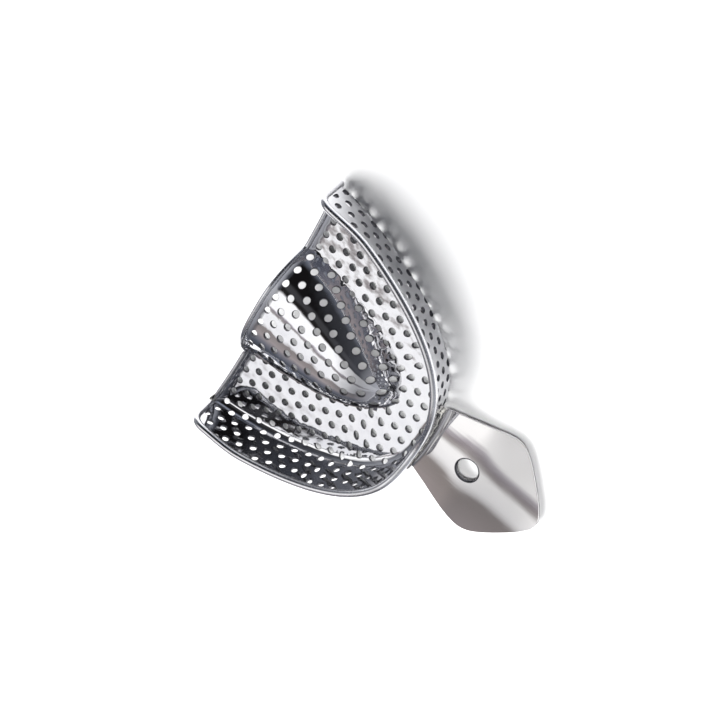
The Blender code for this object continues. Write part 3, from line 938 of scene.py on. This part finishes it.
@dataclass
class Handle:
    """The stamped handle: a flange on the front wall, a bend and an arched kite-shaped blade."""

    form: TrayForm
    sheet: float = 0.9
    root_half_width: float = 9.9
    length: float = 29.2
    spread: float = 0.35
    tip_radius: float = 3.2
    corner_sharpness: float = 8.0
    bend_radius: float = 1.5
    flange_top: float = 6.6
    gap: float = 0.3
    arch: float = 0.75
    arch_half_width: float = 13.2
    flat_share: float = 0.3
    flat_length: float = 4.5
    twist: float = 0.012
    root_height: float = 2.85
    droop: float = 1.4
    droop_from: float = 0.2
    tip_share: float = 0.985
    hole_radius: float = 2.7
    hole_bevel: float = 0.38
    hole_rim: float = 1.0
    mesh_step: float = 0.55
    mesh_edge_room: float = 0.25
    mesh_hole_room: float = 0.2
    mesh_half_width: float = 15.0
    mesh_behind: float = 6.0
    hole_from_root: float = 9.6
    hole_sides: int = 64
    edge_break: float = 0.22
    solder_radius: float = 0.5
    seam_beside: float = 0.2
    seam_above: float = 0.35

    def half_width(self, along: Array) -> Array:
        """Half width of the blade at a distance from its root.

        Args:
            along: Distances from the root.

        Returns:
            Half widths in millimetres.
        """
        left = np.clip(self.length * self.tip_share - along, 0.0, None)
        spread = self.root_half_width + self.spread * np.clip(along, 0.0, None)
        tip = np.sqrt(left * left + 2.0 * self.tip_radius * left).clip(0.02)
        power = self.corner_sharpness
        return (spread ** -power + tip ** -power) ** (-1.0 / power)

    def pressed(self, points: Array) -> Array:
        """Middle of the handle's sheet over flat points.

        Args:
            points: Flat points, x across and y minus the distance from the blade's root. Those with y
                above zero lie on the bend and the flange.

        Returns:
            Points in the row frame, in millimetres.
        """
        form = self.form
        across, along = points[:, 0], -points[:, 1]
        bend_length = self.bend_radius * math.pi / 2
        up_flange = np.clip(-along - bend_length, 0.0, None)
        turn = np.clip(-along / self.bend_radius, 0.0, math.pi / 2)
        clearance = self.gap + self.sheet / 2
        outward = clearance + self.bend_radius * (1.0 - np.sin(turn))
        blade = np.clip(along, 0.0, None)
        share = blade / self.length
        fall = ((share - self.droop_from) / (1.0 - self.droop_from)).clip(0.0, 1.0)
        level = self.root_height - self.droop * fall * fall * (3.0 - 2.0 * fall)
        raised = self.root_height + self.bend_radius * (1.0 - np.cos(turn)) + up_flange
        height = np.where(along > 0.0, level, raised)
        flat_spot = np.exp(-((along - self.hole_from_root) / self.flat_length) ** 2)
        height -= self.below_ridge(across) * (1.0 - self.flat_share * flat_spot)
        height -= self.twist * across * fall
        foot, normal = self.front_wall(across)
        lean = form.flare(foot, height) * np.sin(turn)
        root = foot + normal * (outward + lean)[:, None]
        front = -form.pan_length - outward
        straight = (1.0 - share.clip(0.0, 1.0)) ** 2
        y = front - blade + (root[:, 1] - front) * straight
        x = across + (root[:, 0] - across) * straight
        return np.column_stack([x, y + form.heel_line, height])

    def front_wall(self, across: Array) -> tuple[Array, Array]:
        """Points and outward normals of the front wall's foot, for each distance across.

        Args:
            across: Distances from the middle.

        Returns:
            Foot points and their normals.
        """
        ahead = np.full_like(across, -self.form.pan_length - 5.0)
        foot, normal, _ = self.form.nearest(np.column_stack([across, ahead]))
        return foot, normal

    def below_ridge(self, across: Array) -> Array:
        """How far the arched sheet lies below its ridge."""
        return self.arch * (across / self.arch_half_width) ** 2

    def outline(self) -> Array:
        """Edge of the flat handle, anticlockwise.

        Returns:
            Points of the outline.
        """
        flange = self.bend_radius * (math.pi / 2 - 1.0) + self.flange_top - self.root_height
        corner = 1.2
        tip = self.length * self.tip_share
        along = tip * (1.0 - np.linspace(1.0, 0.0, 90) ** 1.8)
        right = np.column_stack([self.half_width(along), -along])
        rise = np.linspace(flange - corner, 0.4, 12)
        side = np.column_stack([np.full_like(rise, self.root_half_width), rise])
        angle = np.linspace(math.pi / 2, 0.1, 6)
        turn = np.column_stack([self.root_half_width - corner + corner * np.cos(angle),
                                flange - corner + corner * np.sin(angle)])
        half = np.vstack([turn, side, right])
        left = half[::-1] * np.array([-1.0, 1.0])
        return resample(np.vstack([left, half]), 260, closed=True)

    def build(self) -> list[bpy.types.Object]:
        """Make the handle and its solder seam.

        Returns:
            The two pieces.
        """
        outline = self.outline()
        inner = closed_offset(outline, -self.edge_break)
        angle = np.arange(self.hole_sides) * 2.0 * math.pi / self.hole_sides
        circle = np.column_stack([np.cos(angle), np.sin(angle)])
        centre = np.array([0.0, -self.hole_from_root])
        radii = (self.hole_radius, self.hole_radius + self.hole_bevel, self.hole_radius + self.hole_rim)
        ring = tuple(centre + circle * radius for radius in radii)
        columns = np.arange(-self.mesh_half_width, self.mesh_half_width, self.mesh_step)
        rows = np.arange(-self.length, self.mesh_behind, self.mesh_step)
        grid = np.array([[x, y] for x in columns for y in rows])
        keep = inside_outline(grid, inner) & (outline_distance(grid, inner) > self.mesh_edge_room)
        keep &= np.hypot(*(grid - centre).T) > radii[-1] + self.mesh_hole_room
        mesher = SheetMesher(self.pressed, self.sheet, self.sheet / 2, self.edge_break)
        mesh = mesher.build("handle_stamped", outline, [ring], grid[keep])
        handle = show("handle_stamped", mesh, HANDLE_STEEL, "polished_handle_steel", "handle")
        return [handle, self.solder_seam()]

    def solder_seam(self) -> bpy.types.Object:
        """Uneven bead of solder round the flange's free edges.

        Returns:
            The piece.
        """
        form = self.form
        reach = self.root_half_width + self.seam_beside
        top = self.flange_top + self.seam_above
        side_z = np.linspace(self.root_height + self.bend_radius, top, 8)
        over = np.linspace(reach, -reach, 60)[1:-1]
        across = np.concatenate([np.full(8, reach), over, np.full(8, -reach)])
        height = np.concatenate([side_z, np.full(58, top), side_z[::-1]]) - self.below_ridge(across)
        foot, normal = self.front_wall(across)
        path = form.wall_middle(foot, normal, height, form.sheet / 2 + self.gap)
        path = relax(resample(path, 220), 6)
        step = np.linspace(0.0, 1.0, len(path))
        radii = self.solder_radius * (1.0 + 0.18 * np.sin(61.0 * step) + 0.12 * np.sin(143.0 * step + 1.0))
        mesh = swept_tube("solder_handle_seam", path, radii, 14)
        return show("solder_handle_seam", mesh, SOLDER, "silver_solder", "handle_solder_seam")


# ------------------------------------------------------------------ studio

@dataclass
class Studio:
    """White paper floor, one soft key light, plain walls of light and shade, and the camera."""

    heel_line: float
    floor_half_size: float = 3.0
    floor_gap: float = 0.00075
    camera_distance: float = 0.4149
    camera_azimuth: float = 70.19
    camera_elevation: float = 52.85
    camera_roll: float = -123.0
    camera_aim: tuple[float, float] = (0.0014, -0.0230)
    lens: float = 91.0
    key_direction: tuple[float, float, float] = (-0.50, 0.24, 0.83)
    key_distance: float = 0.9
    key_size: float = 1.1
    key_power: float = 26.0
    surroundings_strength: float = 1.3
    fill_target: tuple[float, float] = (0.002, -0.0620)
    fill_direction: tuple[float, float, float] = (0.47, -0.17, 0.87)
    fill_distance: float = 0.5
    fill_angle: float = 7.0
    fill_power: float = 16.0
    fill_size: float = 0.03

    def build(self) -> None:
        """Make the floor, the lights, the surroundings and the camera."""
        self.make_floor()
        self.make_key()
        self.make_fill()
        self.make_surroundings()
        self.make_camera()
        bpy.context.scene.view_settings.view_transform = "Standard"

    def make_floor(self) -> None:
        """Lay the paper just under the tray."""
        half = self.floor_half_size
        mesh = bpy.data.meshes.new("studio_floor")
        corners = [(-half, -half, 0.0), (half, -half, 0.0), (half, half, 0.0), (-half, half, 0.0)]
        mesh.from_pydata(corners, [], [(0, 1, 2, 3)])
        mesh.materials.append(PaperFinish().material())
        floor = bpy.data.objects.new("studio_floor", mesh)
        floor.location.z = -self.floor_gap
        bpy.context.scene.collection.objects.link(floor)

    @staticmethod
    def hang(lamp: bpy.types.Light, target: Vector, direction: tuple[float, float, float],
             distance: float) -> None:
        """Hang a lamp that shines on a target and isn't itself seen in the metal.

        Args:
            lamp: The lamp.
            target: Where it shines, in metres.
            direction: Where it hangs, seen from the target.
            distance: How far away, in metres.
        """
        holder = bpy.data.objects.new(lamp.name, lamp)
        away = Vector(direction).normalized()
        holder.location = target + away * distance
        holder.rotation_mode = "QUATERNION"
        holder.rotation_quaternion = away.to_track_quat("Z", "Y")
        holder.visible_glossy = False
        bpy.context.scene.collection.objects.link(holder)

    def make_key(self) -> None:
        """Hang the key light over the left side."""
        lamp = bpy.data.lights.new("key_softbox", "AREA")
        lamp.shape = "RECTANGLE"
        lamp.size = self.key_size
        lamp.size_y = self.key_size
        lamp.energy = self.key_power
        self.hang(lamp, Vector((0.0, 0.0, 0.0)), self.key_direction, self.key_distance)

    def make_fill(self) -> None:
        """Hang a soft spot by the handle, which clears the handle's own shade from the paper."""
        lamp = bpy.data.lights.new("handle_fill", "SPOT")
        lamp.energy = self.fill_power
        lamp.spot_size = math.radians(self.fill_angle)
        lamp.spot_blend = 1.0
        lamp.shadow_soft_size = self.fill_size
        x, ahead = self.fill_target
        self.hang(lamp, Vector((x, self.heel_line * MM + ahead, 0.0)), self.fill_direction, self.fill_distance)

    def make_surroundings(self) -> None:
        """Ring the table with panels of light and shade, by the angle from straight up towards +X."""
        world = bpy.data.worlds.new("studio_surroundings")
        world.use_nodes = True
        bpy.context.scene.world = world
        tree = world.node_tree
        tree.nodes.clear()
        place = add_node(tree, "ShaderNodeTexCoord")
        parts = add_node(tree, "ShaderNodeSeparateXYZ", None, {"Vector": place.outputs["Generated"]})
        angle = add_node(tree, "ShaderNodeMath", None, {0: parts.outputs["X"], 1: parts.outputs["Z"]},
                         operation="ARCTAN2")
        turn = add_node(tree, "ShaderNodeMapRange", {"From Min": -math.pi, "From Max": math.pi},
                        {"Value": angle.outputs["Value"]})
        around = self.ramp(tree, turn.outputs["Result"], [((d + 180.0) / 360.0, c) for d, c in self.panels()])
        lengthwise = add_node(tree, "ShaderNodeMapRange", {"From Min": -1.0, "From Max": 1.0},
                              {"Value": parts.outputs["Y"]})
        reach = self.ramp(tree, lengthwise.outputs["Result"],
                          [(0.0, "#303030"), (0.36, "#a0a0a0"), (0.5, "#dcdcdc"), (0.55, "#ffffff"),
                           (0.74, "#ffffff"), (0.88, "#404040")])
        ends = self.ramp(tree, lengthwise.outputs["Result"],
                         [(0.05, "#a4a6ac"), (0.3, "#4c4e54"), (0.85, "#4c4e54"), (1.0, "#8c8e94")])
        both = add_node(tree, "ShaderNodeMix", None, {0: reach.outputs["Color"], 6: ends.outputs["Color"],
                                                      7: around.outputs["Color"]}, data_type="RGBA")
        light = add_node(tree, "ShaderNodeBackground", {"Strength": self.surroundings_strength},
                         {"Color": both.outputs[2]})
        add_node(tree, "ShaderNodeOutputWorld", None, {"Surface": light.outputs["Background"]})

    @staticmethod
    def ramp(tree: bpy.types.NodeTree, source: bpy.types.NodeSocket,
             stops: list[tuple[float, str]]) -> bpy.types.Node:
        """Add a colour ramp.

        Args:
            tree: Node tree to add to.
            source: Socket that drives the ramp, from 0 to 1.
            stops: Place and sRGB shade of each stop, in order.

        Returns:
            The ramp's node.
        """
        node = add_node(tree, "ShaderNodeValToRGB", None, {"Fac": source})
        elements = node.color_ramp.elements
        elements.remove(elements[-1])
        for index, (place, shade) in enumerate(stops):
            spot = elements[0] if index == 0 else elements.new(place)
            spot.position = place
            spot.color = linear(shade)
        return node

    def panels(self) -> list[tuple[float, str]]:
        """Stops of shade round the table: degrees from straight up towards +X, and an sRGB shade."""
        return [(-180.0, "#202020"), (-95.0, "#34363c"), (-75.0, "#50545e"), (-62.0, "#74747c"),
                (-52.0, "#9c9494"), (-40.2, "#847e7c"), (-39.0, "#eaeaec"), (-33.2, "#fafafa"),
                (-32.2, "#7c7472"), (-29.8, "#9a949c"), (-28.2, "#ffffff"), (2.0, "#ffffff"),
                (5.0, "#2e2c2c"), (10.0, "#1a1818"), (16.0, "#3c3c3e"), (24.0, "#3c3c3e"),
                (30.0, "#141314"), (60.0, "#141314"), (68.0, "#6c717c"), (86.0, "#8a8f9a"),
                (97.0, "#d8dade"), (180.0, "#202020")]

    def make_camera(self) -> None:
        """Set the camera at the viewing angle, rolled as the view is."""
        lens = bpy.data.cameras.new("camera")
        lens.lens = self.lens
        lens.sensor_width = 36.0
        lens.clip_start = 0.01
        lens.clip_end = 20.0
        camera = bpy.data.objects.new("camera", lens)
        azimuth, elevation = math.radians(self.camera_azimuth), math.radians(self.camera_elevation)
        back = Vector((math.sin(azimuth) * math.cos(elevation), -math.cos(azimuth) * math.cos(elevation),
                       math.sin(elevation)))
        aim = Vector((self.camera_aim[0], self.heel_line * MM + self.camera_aim[1], 0.0))
        turn = back.to_track_quat("Z", "Y").to_matrix().to_4x4()
        roll = Matrix.Rotation(math.radians(self.camera_roll), 4, "Z")
        camera.matrix_world = Matrix.Translation(aim + back * self.camera_distance) @ turn @ roll
        bpy.context.scene.collection.objects.link(camera)
        bpy.context.scene.camera = camera


def main() -> None:
    """Build the tray's pieces and the studio."""
    logging.basicConfig(level=logging.INFO, format="%(name)s: %(message)s")
    form = TrayForm()
    PerforatedPan(form).build()
    EdgeWires(form).build()
    Handle(form).build()
    Studio(form.heel_line).build()


if __name__ == "__main__":
    main()
